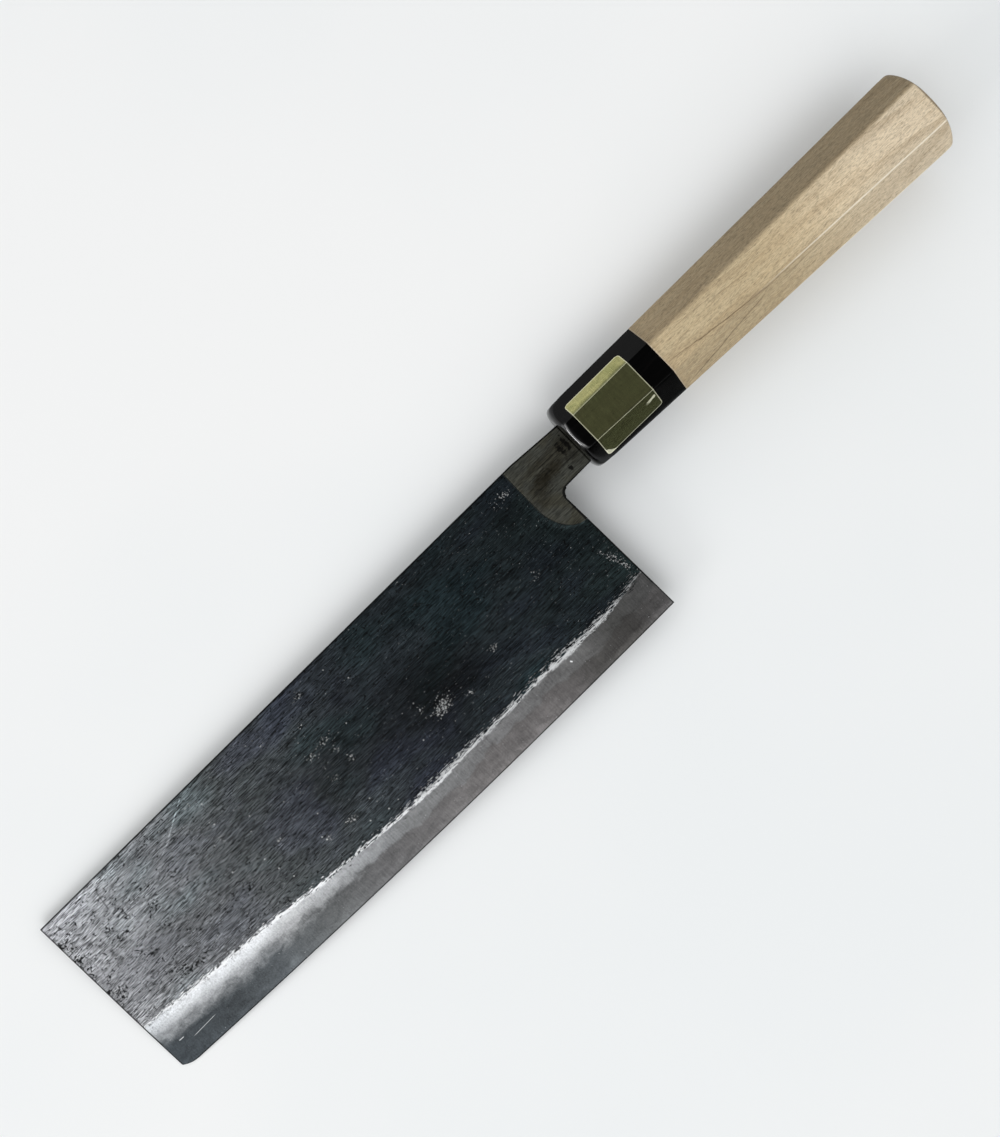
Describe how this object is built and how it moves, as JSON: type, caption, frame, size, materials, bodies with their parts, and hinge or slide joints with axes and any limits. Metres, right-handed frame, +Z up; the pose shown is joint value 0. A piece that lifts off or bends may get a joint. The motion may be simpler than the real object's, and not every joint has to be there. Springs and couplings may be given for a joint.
{
  "type": "nakiri knife",
  "caption": "Vegetable knife with a tall straight-edged layered blade, a short neck, a dark ferrule and an octagonal wooden handle.",
  "frame": {"origin": "on the table that the knife lies on, below the middle of its overall box", "axes": "-X towards the blade's tip line, +X towards the handle's butt, +Y towards the spine and -Y towards the cutting edge, +Z up, out of the blade's left side. The blade rises about 2 degrees towards the handle and rolls about 2.5 degrees onto its edge, as the knife really rests."},
  "size_m": [0.2906, 0.0555, 0.0232],
  "materials": {
    "core_steel": "fine ground, satin",
    "forged_iron": "dark forge scale with ground bevels",
    "stainless_steel": "dull, heat stained",
    "black_ferrule": "polished black",
    "pale_wood": "smooth, bare",
    "resin": "set adhesive",
    "gold_foil": "thin shiny foil"
  },
  "bodies": {
    "root": {"blade_core": "core_steel", "left_cladding": "forged_iron", "right_cladding": "forged_iron", "tang": "stainless_steel", "ferrule": "black_ferrule", "handle": "pale_wood", "tang_resin": "resin", "label": "gold_foil"}
  },
  "joints": []
}
